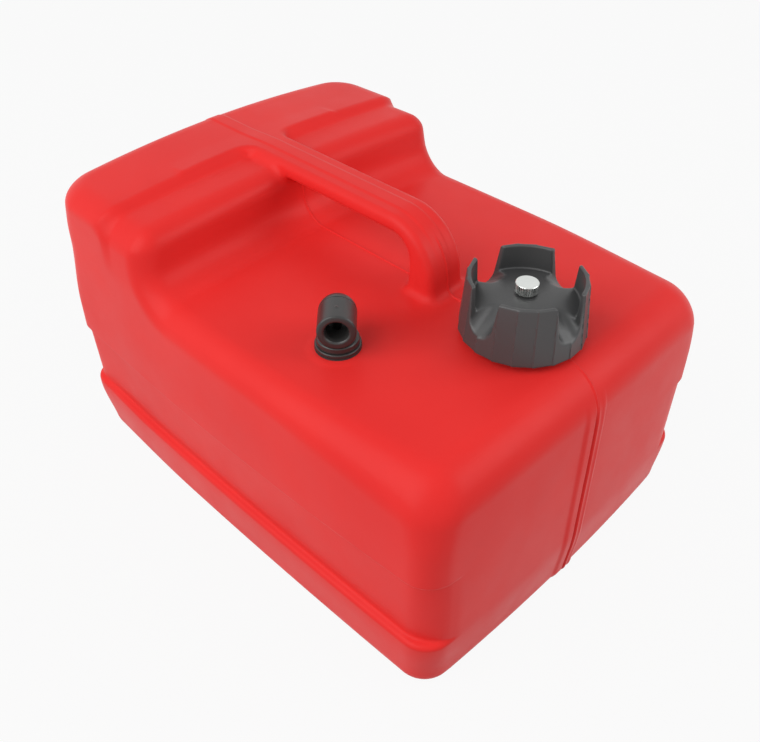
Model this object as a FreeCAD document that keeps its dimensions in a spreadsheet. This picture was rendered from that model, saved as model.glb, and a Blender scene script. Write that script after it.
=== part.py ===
import FreeCAD
import Part
import math
import os
import re

# Portable outboard fuel tank, in millimetres.
# +X runs along the tank to the filler end, +Z is up, and Y = 0 is the parting plane of the
# two mould halves.  The origin is under the middle of the tank, on the surface it stands on.

V = FreeCAD.Vector

# Driving sizes
SIZES = {
    # moulded tank
    "tank_length": 355, "tank_width": 268, "end_bulge": 5, "side_bow": 3,
    "corner_radius": 24, "foot_radius": 10, "edge_radius": 16, "wall": 3,
    "deck_height": 170.5, "crown": 6, "ledge_rise": 39.5, "hump_rise": 45,
    "step_place": -105, "ledge_place": -69, "ledge_lean": 4,
    "cove_radius": 19, "brow_radius": 18, "step_radius": 5, "hump_inset": 0.5,
    # recess round the lower sides
    "skirt_height": 43, "crease_height": 102, "recess_depth": 5, "recess_corner": 26,
    # carrying handle
    "grip_width": 30, "grip_depth": 12.5, "grip_gap": 34.5, "grip_start": -112, "grip_round": 6,
    "bend_place": 26, "bend_inner": 14, "bend_outer": 34, "leg_place": 43,
    "leg_spread": 4, "leg_root": 8,
    # parting line, and the broad rib under it on the filler end
    "flash_height": 0.5, "flash_width": 1.6, "rib_height": 0.9, "rib_width": 16,
    # filler neck and its thread
    "cap_inset": 57.5, "neck_rise": 12.4, "neck_radius": 26, "neck_wall": 3,
    "thread_pitch": 4, "neck_turns": 1.1, "insert_turns": 1, "insert_phase": 0.45,
    "ridge_height": 2, "ridge_root": 2.4, "ridge_tip": 1.2, "thread_gap": 0.3, "thread_stop": 1.5,
    # filler cap
    "skirt_gap": 4.2, "cap_height": 35.8, "cap_foot_radius": 37, "cap_tip_radius": 34,
    "finger_inner": 31, "dome_rise": 4.9, "disc_thickness": 6.6,
    "finger_count": 4, "finger_turn": -52.5, "panel_count": 20, "panel_step": 0.6,
    "notch_width": 15.6, "notch_floor": 9.6, "notch_slope": 34, "notch_flare": 2.3,
    "insert_radius": 30.6, "insert_lift": 0.7, "insert_plate": 2.5, "insert_eye": 12, "key_count": 4,
    "key_width": 4, "key_height": 1.5, "key_gap": 0.1, "gasket_thickness": 2.5,
    "gasket_width": 6, "gasket_gap": 0.2,
    # vent in the cap
    "bush_radius": 4.5, "bush_flange": 6, "bush_rim": 1.2, "boss_radius": 8, "boss_depth": 8,
    "vent_radius": 3, "vent_gap": 0.05, "seal_radius": 5.6, "seal_thickness": 1, "seal_gap": 0.1,
    "knob_radius": 6.7, "knob_height": 5.8, "knurl_count": 36, "knurl_depth": 0.35,
    "vent_travel": 3, "vent_spare": 0.3, "clip_radius": 4.6, "clip_thickness": 0.8,
    "clip_groove": 0.5, "vent_tail": 1.2,
    # fuel outlet
    "port_x": 52, "port_inset": 54, "port_hole": 9, "pad_radius": 15, "pad_depth": 9, "spot_depth": 3,
    "seat_radius": 13.6, "port_seal": 1.2, "seat_height": 3.6, "bushing_bore": 6.6,
    "bushing_drop": 10, "hub_radius": 12.4, "hub_height": 4, "post_radius": 9,
    "barrel_radius": 11.1, "barrel_rise": 12.4, "barrel_front": 14, "barrel_back": 5, "barrel_turn": 45,
    "hose_radius": 6.2, "hose_depth": 13, "swivel_gap": 0.05, "fuel_bore": 2.6,
    "oring_radius": 0.9, "oring_drop": 5, "oring_gap": 0.03,
    "snap_radius": 8.2, "snap_thickness": 0.8, "snap_groove": 0.7, "snap_gap": 0.3,
    "tail_length": 9, "tube_radius": 5, "tube_wall": 1.2, "tube_gap": 0.02,
    "strainer_radius": 8, "strainer_height": 20, "strainer_wall": 1, "strainer_lift": 2,
    "strainer_grip": 5, "slot_count": 8, "slot_width": 2, "slot_height": 10,
    "screen_thickness": 0.3,
}

# Sizes that follow from the driving ones
DERIVED = {
    "half_length": "tank_length / 2",
    "half_width": "tank_width / 2",
    "ledge_height": "deck_height + ledge_rise",
    "hump_height": "deck_height + hump_rise",
    "cap_place": "half_length - cap_inset",
    "port_y": "port_inset - half_width",
    "neck_top": "deck_height + neck_rise",
    "plate_under": "neck_top + gasket_thickness",
    "plate_top": "plate_under + insert_plate",
    "cap_foot": "deck_height + skirt_gap",
    "cap_top": "cap_foot + cap_height",
    "disc_rim": "plate_top + disc_thickness",
    "dome_top": "disc_rim + dome_rise",
    "insert_bore": "neck_radius + ridge_height + thread_gap",
    "boss_under": "dome_top - boss_depth",
    "seal_top": "dome_top + seal_thickness",
    "clip_top": "boss_under - bush_rim - vent_travel - vent_spare",
    "pad_top": "deck_height - crown * (port_y / half_width) * (port_y / half_width)",
    "seat_top": "pad_top + seat_height",
    "hub_top": "seat_top + hub_height",
    "barrel_height": "hub_top + barrel_rise",
    "bushing_foot": "pad_top - bushing_drop",
    "spigot_radius": "bushing_bore - swivel_gap",
    "snap_top": "bushing_foot - snap_gap",
    "tail_foot": "snap_top - snap_thickness - tail_length",
    "tail_radius": "tube_radius - tube_wall - tube_gap",
    "strainer_foot": "wall + strainer_lift",
    "strainer_top": "strainer_foot + strainer_height",
    "strainer_bore": "strainer_radius - strainer_wall",
    "tube_foot": "strainer_top - strainer_grip",
}

doc = FreeCAD.newDocument("fuel_tank")
sheet = doc.addObject("Spreadsheet::Sheet", "Sizes")
row = 0
for alias, value in SIZES.items():
    row += 1
    sheet.set("A%d" % row, alias)
    sheet.set("B%d" % row, str(value))
    sheet.setAlias("B%d" % row, alias)
for alias, formula in DERIVED.items():
    row += 1
    sheet.set("A%d" % row, alias)
    sheet.set("B%d" % row, "=" + formula)
    sheet.setAlias("B%d" % row, alias)
doc.recompute()


class Values:
    """The sheet's cells, read by alias."""

    def __getattr__(self, alias):
        return float(sheet.get(alias))


S = Values()
ALIASES = sorted(list(SIZES) + list(DERIVED), key=len, reverse=True)


def bind(obj, place, text):
    """Bind a property to the sheet; text is a formula of aliases."""
    linked = re.sub(r"\b(%s)\b" % "|".join(ALIASES), r"Sizes.\1", str(text))
    obj.setExpression(place, linked)


# Helpers that make bound primitives and booleans
def put(obj, x, y, z):
    for axis, text in (("x", x), ("y", y), ("z", z)):
        bind(obj, "Placement.Base." + axis, text)
    return obj


def cylinder(name, radius, height, x="0", y="0", z="0"):
    obj = doc.addObject("Part::Cylinder", name)
    bind(obj, "Radius", radius)
    bind(obj, "Height", height)
    return put(obj, x, y, z)


def ball(name, radius, x="0", y="0", z="0"):
    obj = doc.addObject("Part::Sphere", name)
    bind(obj, "Radius", radius)
    return put(obj, x, y, z)


def ring(name, big, small, x="0", y="0", z="0"):
    obj = doc.addObject("Part::Torus", name)
    bind(obj, "Radius1", big)
    bind(obj, "Radius2", small)
    return put(obj, x, y, z)


def box(name, long, wide, high, x="0", y="0", z="0"):
    obj = doc.addObject("Part::Box", name)
    bind(obj, "Length", long)
    bind(obj, "Width", wide)
    bind(obj, "Height", high)
    return put(obj, x, y, z)


def fuse(name, *parts):
    obj = doc.addObject("Part::MultiFuse", name)
    obj.Shapes = list(parts)
    obj.Refine = True
    return obj


def cut(name, base, *tools):
    tool = tools[0] if len(tools) == 1 else fuse(name + "_tools", *tools)
    obj = doc.addObject("Part::Cut", name)
    obj.Base = base
    obj.Tool = tool
    obj.Refine = True
    return obj


# Helpers that make plain shapes for the moulded forms
def turned(shape, degrees, centre=V(0, 0, 0)):
    shape = shape.copy()
    shape.rotate(centre, V(0, 0, 1), degrees)
    return shape


def edges_along(shape, direction):
    found = []
    for edge in shape.Edges:
        straight = edge.Curve.TypeId == "Part::GeomLine"
        if straight and abs(edge.tangentAt(edge.FirstParameter).dot(direction)) > 0.999:
            found.append(edge)
    return found


def plan_prism(inset, low, high, side_inset=0, radius=None):
    """A block with the tank's bowed plan outline, drawn in by inset."""
    ex = S.half_length - inset
    ey = S.half_width - inset - side_inset
    cx = ex - S.end_bulge
    cy = ey - S.side_bow
    corners = [V(cx, -cy, low), V(cx, cy, low), V(-cx, cy, low), V(-cx, -cy, low)]
    middles = [V(ex, 0, low), V(0, ey, low), V(-ex, 0, low), V(0, -ey, low)]
    edges = []
    for i in range(4):
        arc = Part.Arc(corners[i], middles[i], corners[(i + 1) % 4])
        edges.append(arc.toShape())
    block = Part.Face(Part.Wire(edges)).extrude(V(0, 0, high - low))
    corner = (S.corner_radius if radius is None else radius) - inset
    return block.makeFillet(corner, edges_along(block, V(0, 0, 1)))


def crowned(profile):
    """Sweep a face in the XZ plane sideways along the deck's crown."""
    half = S.half_width
    radius = (half * half + S.crown * S.crown) / (2 * S.crown)
    centre = V(0, 0, S.deck_height - radius)
    angle = math.degrees(math.asin(half / radius)) * 1.2
    start = profile.copy()
    start.rotate(centre, V(1, 0, 0), -angle)
    return start.revolve(centre, V(1, 0, 0), 2 * angle)


def rounded_path(points, radii):
    """A closed wire in the XZ plane: straight runs with an arc at each point that has a radius."""
    count = len(points)
    edges = []
    starts = []
    ends = []
    for i in range(count):
        here = points[i]
        to_last = (points[i - 1] - here).normalize()
        to_next = (points[(i + 1) % count] - here).normalize()
        if radii[i] == 0:
            starts.append(here)
            ends.append(here)
            continue
        half_angle = to_last.getAngle(to_next) / 2
        reach = radii[i] / math.tan(half_angle)
        starts.append(here + to_last * reach)
        ends.append(here + to_next * reach)
    for i in range(count):
        if radii[i] > 0:
            here = points[i]
            to_last = (points[i - 1] - here).normalize()
            to_next = (points[(i + 1) % count] - here).normalize()
            half_angle = to_last.getAngle(to_next) / 2
            middle = (to_last + to_next).normalize()
            depth = radii[i] / math.sin(half_angle) - radii[i]
            edges.append(Part.Arc(starts[i], here + middle * depth, ends[i]).toShape())
        after = (i + 1) % count
        if (starts[after] - ends[i]).Length > 1e-6:
            edges.append(Part.LineSegment(ends[i], starts[after]).toShape())
    return Part.Wire(Part.__sortEdges__(edges))


def deck_profile(inset):
    """The tank seen from the side: deck, hollow curve, wall and ledge."""
    far = S.tank_length
    deck = S.deck_height - inset
    ledge = S.ledge_height - inset
    wall_top = S.ledge_place - inset
    wall_foot = wall_top + S.ledge_lean
    points = [V(far, 0, -far), V(far, 0, deck), V(wall_foot, 0, deck),
              V(wall_top, 0, ledge), V(-far, 0, ledge), V(-far, 0, -far)]
    radii = [0, 0, S.cove_radius + inset, S.brow_radius - inset, 0, 0]
    return Part.Face(rounded_path(points, radii))


def hump_profile(inset):
    """The raised block behind the ledge, seen from the side."""
    far = S.tank_length
    top = S.hump_height - inset
    front = S.step_place - inset
    points = [V(front, 0, 0), V(front, 0, top), V(-far, 0, top), V(-far, 0, 0)]
    return Part.Face(Part.makePolygon(points + points[:1]))


def is_side(face):
    """True for a face of the plan prism, which reaches down below the deck."""
    return face.BoundBox.ZMin < S.deck_height / 2


def rim_edges(block, low, front=None):
    """Edges between the upright sides and the top, above low and behind front."""
    found = []
    for edge in block.Edges:
        if edge.BoundBox.ZMin < low:
            continue
        if front is not None and edge.BoundBox.XMin > front - 1:
            continue
        owners = block.ancestorsOfType(edge, Part.Face)
        if sum(is_side(face) for face in owners) == 1:
            found.append(edge)
    return found


def foot_edges(block, level):
    return [edge for edge in block.Edges if abs(edge.BoundBox.ZMax - level) < 0.01]


def outline(prism, level):
    """The outer wire of a plan prism at one end."""
    for face in prism.Faces:
        if abs(face.BoundBox.ZMin - level) < 1e-3 and abs(face.BoundBox.ZMax - level) < 1e-3:
            return face.OuterWire


def side_recess(inset):
    """The band that is drawn in above the skirt, deepest at its foot and fading on the ends."""
    low = S.skirt_height - inset
    high = S.crease_height
    fade = -2
    foot = plan_prism(inset + fade, low, high, S.recess_depth - fade, S.recess_corner + fade)
    crease = plan_prism(inset - 0.3, low, high)
    core = Part.makeLoft([outline(foot, low), outline(crease, high)], True, True)
    far = S.tank_length
    band = Part.makeBox(2 * far, 2 * far, high - low, V(-far, -far, low))
    return band.cut(core)


def tank_form(inset):
    """The moulded body without handle and openings, drawn in by inset on every side."""
    ceiling = S.hump_height + S.crown
    rim_low = S.deck_height - 2 * S.crown
    block = plan_prism(inset, inset, ceiling).common(crowned(deck_profile(inset)))
    block = block.makeFillet(S.edge_radius - inset, rim_edges(block, rim_low))
    block = block.makeFillet(S.foot_radius - inset, foot_edges(block, inset))
    hump = plan_prism(inset + S.hump_inset, 0, ceiling).common(crowned(hump_profile(inset)))
    front = S.step_place - inset
    hump = hump.makeFillet(S.edge_radius - inset, rim_edges(hump, rim_low, front))
    brow = []
    for edge in hump.Edges:
        bounds = edge.BoundBox
        if abs(bounds.XMin - front) < 0.01 and bounds.XLength < 0.01 and bounds.ZMin > rim_low:
            if bounds.YLength > 1:
                brow.append(edge)
    hump = hump.makeFillet(S.step_radius, brow)
    low = S.ledge_height - 2 * S.edge_radius
    above = Part.makeBox(2 * S.tank_length, 2 * S.tank_width, ceiling,
                         V(-S.tank_length, -S.tank_width, low))
    return block.fuse(hump.common(above)).cut(side_recess(inset)).removeSplitter()


def handle_form(inset):
    """The carrying handle: a flat grip from the hump that bends down into a leg."""
    under = S.deck_height + S.grip_gap + inset
    over = S.deck_height + S.grip_gap + S.grip_depth - inset
    back = S.leg_place + inset
    front = S.bend_place + S.bend_outer - inset
    root = S.deck_height - S.leg_root
    half = S.grip_width / 2 - inset
    points = [V(S.grip_start, -half, under), V(back, -half, under), V(back, -half, root),
              V(front + S.leg_spread, -half, root), V(front, -half, over),
              V(S.grip_start, -half, over)]
    radii = [0, S.bend_inner + inset, 0, 0, S.bend_outer - inset, 0]
    bar = Part.Face(rounded_path(points, radii)).extrude(V(0, 2 * half, 0))
    long_edges = []
    for edge in bar.Edges:
        bounds = edge.BoundBox
        flat = bounds.YLength < 0.01 and bounds.ZMax > root + 1
        if flat and bounds.XMax > S.grip_start + 1:
            long_edges.append(edge)
    return bar.makeFillet(S.grip_round - inset, long_edges)


def helix_ridge(radius, outward, start, turns):
    """One thread ridge: a trapezium swept up a right-hand helix; outward is 1 or -1."""
    sink = S.ridge_height / 5
    root = S.ridge_root
    tip = S.ridge_tip
    path = Part.makeHelix(S.thread_pitch, S.thread_pitch * turns, radius)
    base = radius - outward * sink
    crest = radius + outward * S.ridge_height
    corners = [V(base, 0, -root / 2), V(crest, 0, -tip / 2), V(crest, 0, tip / 2), V(base, 0, root / 2)]
    profile = Part.makePolygon(corners + corners[:1])
    ridge = Part.Wire(path).makePipeShell([profile], True, True)
    ridge.translate(V(0, 0, start))
    return ridge


def flash(outset, width, low):
    """A raised line or band along the parting plane."""
    far = S.tank_length
    slab = Part.makeBox(2 * far, width, far, V(-far, -width / 2, low))
    return tank_form(-outset).common(slab)


def thread_start():
    """Height of the middle of the neck's ridge where it begins."""
    return S.neck_top - S.thread_stop - S.thread_pitch * S.neck_turns


def make_tank():
    low = S.foot_radius + 1
    flash_line = flash(S.flash_height, S.flash_width, low)
    rib_top = S.deck_height - S.edge_radius
    rib_zone = Part.makeBox(S.tank_length, S.rib_width, rib_top,
                            V(S.half_length / 2, -S.rib_width / 2, 0))
    rib = flash(S.rib_height, S.rib_width, low).common(rib_zone)
    cavity = tank_form(S.wall)
    hollow_handle = handle_form(S.wall)
    shell = tank_form(0).fuse(handle_form(0)).cut(cavity).cut(hollow_handle)
    for raised in (flash_line, rib):
        shell = shell.fuse(raised.cut(cavity).cut(hollow_handle))
    pad_foot = S.pad_top - S.pad_depth
    pad = Part.makeCylinder(S.pad_radius, S.pad_depth, V(S.port_x, S.port_y, pad_foot))
    neck_foot = S.deck_height - S.wall
    neck = Part.makeCylinder(S.neck_radius, S.neck_top - neck_foot, V(S.cap_place, 0, neck_foot))
    ridge = helix_ridge(S.neck_radius, 1, thread_start(), S.neck_turns)
    ridge.translate(V(S.cap_place, 0, 0))
    shell = shell.fuse(pad).fuse(neck).fuse(ridge)
    bore_foot = neck_foot - S.neck_rise
    bore = Part.makeCylinder(S.neck_radius - S.neck_wall, S.neck_top - bore_foot + 1,
                             V(S.cap_place, 0, bore_foot))
    port = Part.makeCylinder(S.port_hole, S.pad_depth + 2, V(S.port_x, S.port_y, pad_foot - 1))
    spot = Part.makeCylinder(S.pad_radius, S.spot_depth, V(S.port_x, S.port_y, S.pad_top))
    return shell.cut(bore).cut(port).cut(spot)


def panel_wire(radius, level):
    """The cap's outline: flat panels that each start a small step outside the last one."""
    count = int(S.panel_count)
    points = []
    for i in range(count):
        for part, size in ((0, radius), (0.98, radius - S.panel_step)):
            turn = 2 * math.pi * (i + part) / count
            points.append(V(size * math.cos(turn), size * math.sin(turn), level))
    return Part.makePolygon(points + points[:1])


def notch_tool():
    """A scoop between two fingers that slopes down and outwards along +X."""
    half = S.notch_width / 2
    start = S.finger_inner / 2
    reach = S.cap_foot_radius + half - start
    drop = math.tan(math.radians(S.notch_slope))
    floor = S.cap_foot + S.notch_floor + (S.cap_foot_radius - start) * drop
    top = floor + S.cap_height
    flare = half + S.notch_flare * (top - floor - half) / (S.cap_top - S.cap_foot - S.notch_floor)
    edges = [
        Part.LineSegment(V(start, -flare, top), V(start, -half, floor + half)),
        Part.Arc(V(start, -half, floor + half), V(start, 0, floor), V(start, half, floor + half)),
        Part.LineSegment(V(start, half, floor + half), V(start, flare, top)),
        Part.LineSegment(V(start, flare, top), V(start, -flare, top)),
    ]
    face = Part.Face(Part.Wire([edge.toShape() for edge in edges]))
    return face.extrude(V(reach, 0, -reach * drop))


def keys(radius_in, radius_out, width, low, high):
    """Bars round the insert, under the fingers, that stop it turning in the cap."""
    count = int(S.key_count)
    bars = []
    for i in range(count):
        bar = Part.makeBox(radius_out - radius_in, width, high - low, V(radius_in, -width / 2, low))
        bars.append(turned(bar, S.finger_turn + 360 * i / count))
    return bars


def make_crown():
    panel = 360 / S.panel_count
    wires = [panel_wire(S.cap_foot_radius, S.cap_foot), panel_wire(S.cap_tip_radius, S.cap_top)]
    blank = turned(Part.makeLoft(wires, True, True), S.finger_turn - panel / 2)
    dome_radius = (S.finger_inner ** 2 + S.dome_rise ** 2) / (2 * S.dome_rise)
    centre = V(0, 0, S.dome_top - dome_radius)
    well = Part.makeCylinder(S.finger_inner, S.cap_height, V(0, 0, S.disc_rim))
    well = well.cut(Part.makeSphere(dome_radius, centre))
    bore_radius = S.insert_radius + S.key_gap
    bore = Part.makeCylinder(bore_radius, S.plate_top - S.cap_foot + 1, V(0, 0, S.cap_foot - 1))
    hollow = Part.makeSphere(dome_radius - S.disc_thickness, centre)
    hollow = hollow.common(Part.makeCylinder(S.finger_inner, S.dome_rise, V(0, 0, S.plate_top)))
    crown = blank.cut(well).cut(bore).cut(hollow)
    count = int(S.finger_count)
    notch = notch_tool()
    for i in range(count):
        crown = crown.cut(turned(notch, S.finger_turn + 360 * (i + 0.5) / count))
    slot_low = S.cap_foot - 1
    for bar in keys(S.insert_radius - 1, S.insert_radius + S.key_height + S.key_gap,
                    S.key_width + 2 * S.key_gap, slot_low, S.plate_top):
        crown = crown.cut(bar)
    crown = crown.fuse(Part.makeCylinder(S.boss_radius, S.boss_depth, V(0, 0, S.boss_under)))
    hole = Part.makeCylinder(S.bush_radius, 2 * S.boss_depth, V(0, 0, S.boss_under - 1))
    return crown.cut(hole)


def make_insert():
    foot = S.cap_foot + S.insert_lift
    body = Part.makeCylinder(S.insert_radius, S.plate_top - foot, V(0, 0, foot))
    for bar in keys(S.insert_radius - 1, S.insert_radius + S.key_height, S.key_width, foot, S.plate_top):
        body = body.fuse(bar)
    body = body.cut(Part.makeCylinder(S.insert_bore, S.plate_under - foot + 1, V(0, 0, foot - 1)))
    body = body.cut(Part.makeCylinder(S.insert_eye, 2 * S.insert_plate, V(0, 0, S.plate_under - 1)))
    start = thread_start() + S.thread_pitch * (S.insert_phase - 0.5)
    ridge = turned(helix_ridge(S.insert_bore, -1, start, S.insert_turns), 360 * S.insert_phase)
    return body.fuse(ridge)


def feature(name, shape, x="0"):
    """A moulded piece with a computed shape, placed along the tank."""
    obj = doc.addObject("Part::Feature", name)
    obj.Shape = shape
    return put(obj, x, "0", "0")


def around_port(obj):
    """Move a piece made at the origin onto the outlet's axis and turn it to its place."""
    obj.Placement = FreeCAD.Placement(V(), FreeCAD.Rotation(V(0, 0, -1), S.barrel_turn))
    put(obj, "port_x", "port_y", "0")
    bind(obj, "Placement.Rotation.Angle", "barrel_turn")
    return obj


def disc_ring(name, outer, inner, low, high, x="0", y="0"):
    """A flat ring between two heights."""
    height = "(%s) - (%s)" % (high, low)
    blank = cylinder(name + "_blank", outer, height, x, y, low)
    hole = cylinder(name + "_hole", inner, height + " + 2", x, y, "(%s) - 1" % low)
    return cut(name, blank, hole)


# Pieces at the outlet
def make_port_gasket():
    return disc_ring("port_gasket", "seat_radius", "port_hole", "pad_top", "pad_top + port_seal",
                     "port_x", "port_y")


def make_port_bushing():
    flange = cylinder("bushing_flange", "seat_radius", "seat_height - port_seal",
                      "port_x", "port_y", "pad_top + port_seal")
    body = cylinder("bushing_body", "port_hole", "seat_top - bushing_foot",
                    "port_x", "port_y", "bushing_foot")
    bore = cylinder("bushing_hole", "bushing_bore", "seat_top - bushing_foot + 2",
                    "port_x", "port_y", "bushing_foot - 1")
    return cut("port_bushing", fuse("bushing_blank", flange, body), bore)


def lying(obj, x, z):
    """Lay a cylinder along +X from a place on the outlet's axis."""
    obj.Placement = FreeCAD.Placement(V(), FreeCAD.Rotation(V(0, 1, 0), 90))
    return put(obj, x, "0", z)


def make_outlet_elbow():
    hub = cylinder("elbow_hub", "hub_radius", "hub_height", z="seat_top")
    post = cylinder("elbow_post", "post_radius", "barrel_height - seat_top", z="seat_top")
    barrel = lying(cylinder("elbow_barrel", "barrel_radius", "barrel_front + barrel_back"),
                   "-barrel_back", "barrel_height")
    back = ball("elbow_back", "barrel_radius", x="-barrel_back", z="barrel_height")
    spigot = cylinder("elbow_spigot", "spigot_radius", "seat_top - snap_top + snap_thickness + 0.6",
                      z="snap_top - snap_thickness - 0.6")
    tail = cylinder("elbow_tail", "tail_radius", "seat_top - tail_foot", z="tail_foot")
    solid = fuse("elbow_solid", hub, post, barrel, back, spigot, tail)
    rise = cylinder("elbow_rise", "fuel_bore", "barrel_height - tail_foot + 1", z="tail_foot - 1")
    run = lying(cylinder("elbow_run", "fuel_bore", "barrel_front"), "0", "barrel_height")
    mouth = lying(cylinder("elbow_mouth", "hose_radius", "hose_depth + 1"),
                  "barrel_front - hose_depth", "barrel_height")
    oring_groove = disc_ring("oring_groove", "spigot_radius + 1",
                             "bushing_bore - oring_gap - 2 * oring_radius - 0.02",
                             "seat_top - oring_drop - oring_radius - 0.1",
                             "seat_top - oring_drop + oring_radius + 0.1")
    snap_groove = disc_ring("snap_cut", "spigot_radius + 1", "spigot_radius - snap_groove",
                            "snap_top - snap_thickness", "snap_top")
    return around_port(cut("outlet_elbow", solid, rise, run, mouth, oring_groove, snap_groove))


def make_elbow_oring():
    return ring("elbow_oring", "bushing_bore - oring_gap - oring_radius", "oring_radius",
                "port_x", "port_y", "seat_top - oring_drop")


def make_elbow_clip():
    return disc_ring("elbow_clip", "snap_radius", "spigot_radius - snap_groove",
                     "snap_top - snap_thickness", "snap_top", "port_x", "port_y")


def make_pickup_tube():
    return disc_ring("pickup_tube", "tube_radius", "tube_radius - tube_wall", "tube_foot",
                     "snap_top - snap_thickness - 1", "port_x", "port_y")


def make_pickup_strainer():
    blank = cylinder("strainer_blank", "strainer_radius", "strainer_height", z="strainer_foot")
    room = cylinder("strainer_room", "strainer_bore", "strainer_height - 2 * strainer_wall",
                    z="strainer_foot + strainer_wall")
    eye = cylinder("strainer_eye", "tube_radius + tube_gap", "strainer_height", z="tube_foot")
    slots = []
    for i in range(int(S.slot_count) // 2):
        slot = box("strainer_slot%d" % i, "2 * strainer_radius + 2", "slot_width", "slot_height")
        turn = FreeCAD.Rotation(V(0, 0, 1), 360 / S.slot_count * i)
        slot.Placement = FreeCAD.Placement(V(), turn)
        bind(slot, "Placement.Base.x", "-(strainer_radius + 1) * cos(%g) + slot_width / 2 * sin(%g)"
             % (360 / S.slot_count * i, 360 / S.slot_count * i))
        bind(slot, "Placement.Base.y", "-(strainer_radius + 1) * sin(%g) - slot_width / 2 * cos(%g)"
             % (360 / S.slot_count * i, 360 / S.slot_count * i))
        bind(slot, "Placement.Base.z", "strainer_foot + 2 * strainer_wall")
        slots.append(slot)
    return around_port(cut("pickup_strainer", blank, room, eye, *slots))


def make_pickup_screen():
    return disc_ring("pickup_screen", "strainer_bore", "strainer_bore - screen_thickness",
                     "strainer_foot + strainer_wall", "strainer_top - strainer_wall",
                     "port_x", "port_y")


# Pieces of the cap
def make_cap_gasket():
    return disc_ring("cap_gasket", "insert_bore - gasket_gap", "insert_bore - gasket_gap - gasket_width",
                     "neck_top", "plate_under", "cap_place")


def make_vent_bush():
    flange = cylinder("bush_lip", "bush_flange", "bush_rim", "cap_place", "0", "boss_under - bush_rim")
    body = cylinder("bush_body", "bush_radius", "dome_top - boss_under + bush_rim",
                    "cap_place", "0", "boss_under - bush_rim")
    bore = cylinder("bush_hole", "vent_radius + vent_gap", "boss_depth + bush_rim + 2",
                    "cap_place", "0", "boss_under - bush_rim - 1")
    return cut("vent_bush", fuse("bush_blank", flange, body), bore)


def make_vent_seal():
    return disc_ring("vent_seal", "seal_radius", "vent_radius + seal_gap", "dome_top", "seal_top",
                     "cap_place")


def make_vent_screw():
    knob = Part.makeCylinder(S.knob_radius, S.knob_height, V(0, 0, S.seal_top))
    knob = knob.makeChamfer(S.knurl_depth, [e for e in knob.Edges if e.Length > S.knob_height + 1])
    count = int(S.knurl_count)
    pitch = 2 * math.pi * S.knob_radius / count
    tooth = [V(S.knob_radius - S.knurl_depth, 0, 0), V(S.knob_radius + 0.1, -pitch / 2, 0),
             V(S.knob_radius + 0.1, pitch / 2, 0)]
    groove = Part.Face(Part.makePolygon(tooth + tooth[:1])).extrude(V(0, 0, S.knob_height + 2))
    groove.translate(V(0, 0, S.seal_top - 1))
    knob = knob.cut([turned(groove, 360 * i / count) for i in range(count)])
    low = S.clip_top - S.clip_thickness - S.vent_tail
    stem = Part.makeCylinder(S.vent_radius, S.seal_top - low, V(0, 0, low))
    groove_radius = S.vent_radius - S.clip_groove
    waist = Part.makeCylinder(S.vent_radius + 1, S.clip_thickness, V(0, 0, S.clip_top - S.clip_thickness))
    waist = waist.cut(Part.makeCylinder(groove_radius, 2 * S.knob_height, V(0, 0, low)))
    return knob.fuse(stem.cut(waist))


def make_vent_clip():
    return disc_ring("vent_clip", "clip_radius", "vent_radius - clip_groove",
                     "clip_top - clip_thickness", "clip_top", "cap_place")


PARTS = {
    "tank_shell": feature("tank_shell", make_tank()),
    "port_gasket": make_port_gasket(),
    "port_bushing": make_port_bushing(),
    "outlet_elbow": make_outlet_elbow(),
    "elbow_oring": make_elbow_oring(),
    "elbow_clip": make_elbow_clip(),
    "pickup_tube": make_pickup_tube(),
    "pickup_strainer": make_pickup_strainer(),
    "pickup_screen": make_pickup_screen(),
    "cap_crown": feature("cap_crown", make_crown(), "cap_place"),
    "cap_insert": feature("cap_insert", make_insert(), "cap_place"),
    "cap_gasket": make_cap_gasket(),
    "vent_bush": make_vent_bush(),
    "vent_seal": make_vent_seal(),
    "vent_screw": feature("vent_screw", make_vent_screw(), "cap_place"),
    "vent_clip": make_vent_clip(),
}

doc.recompute()

for obj in doc.Objects:
    if "Invalid" in obj.State or "Error" in obj.State:
        raise RuntimeError("%s did not recompute: %s" % (obj.Name, obj.State))
for node, obj in PARTS.items():
    obj.Label = node
    shape = obj.Shape
    if shape.isNull() or not shape.isValid() or len(shape.Solids) != 1:
        raise RuntimeError("%s is not one valid solid" % node)

os.makedirs("parts", exist_ok=True)
for node, obj in PARTS.items():
    obj.Shape.exportStep("parts/%s.step" % node)
    print(node, round(obj.Shape.Volume, 1))
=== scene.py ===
import math

import bpy
import numpy as np
from mathutils import Matrix, Vector


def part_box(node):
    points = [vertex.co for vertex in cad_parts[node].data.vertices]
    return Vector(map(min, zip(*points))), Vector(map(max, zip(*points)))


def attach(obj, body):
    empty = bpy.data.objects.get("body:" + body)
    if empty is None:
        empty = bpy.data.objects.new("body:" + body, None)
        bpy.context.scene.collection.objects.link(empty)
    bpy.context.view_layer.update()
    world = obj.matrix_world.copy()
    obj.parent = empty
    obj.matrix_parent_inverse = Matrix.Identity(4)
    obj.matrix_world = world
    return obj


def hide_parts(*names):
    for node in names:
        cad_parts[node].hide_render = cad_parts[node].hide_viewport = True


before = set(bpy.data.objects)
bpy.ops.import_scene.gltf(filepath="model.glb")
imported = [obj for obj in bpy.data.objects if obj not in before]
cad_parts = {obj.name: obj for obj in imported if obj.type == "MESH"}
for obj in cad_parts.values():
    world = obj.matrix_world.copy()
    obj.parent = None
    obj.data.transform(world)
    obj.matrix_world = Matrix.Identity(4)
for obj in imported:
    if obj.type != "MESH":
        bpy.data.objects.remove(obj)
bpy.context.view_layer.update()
MM = 0.001

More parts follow.
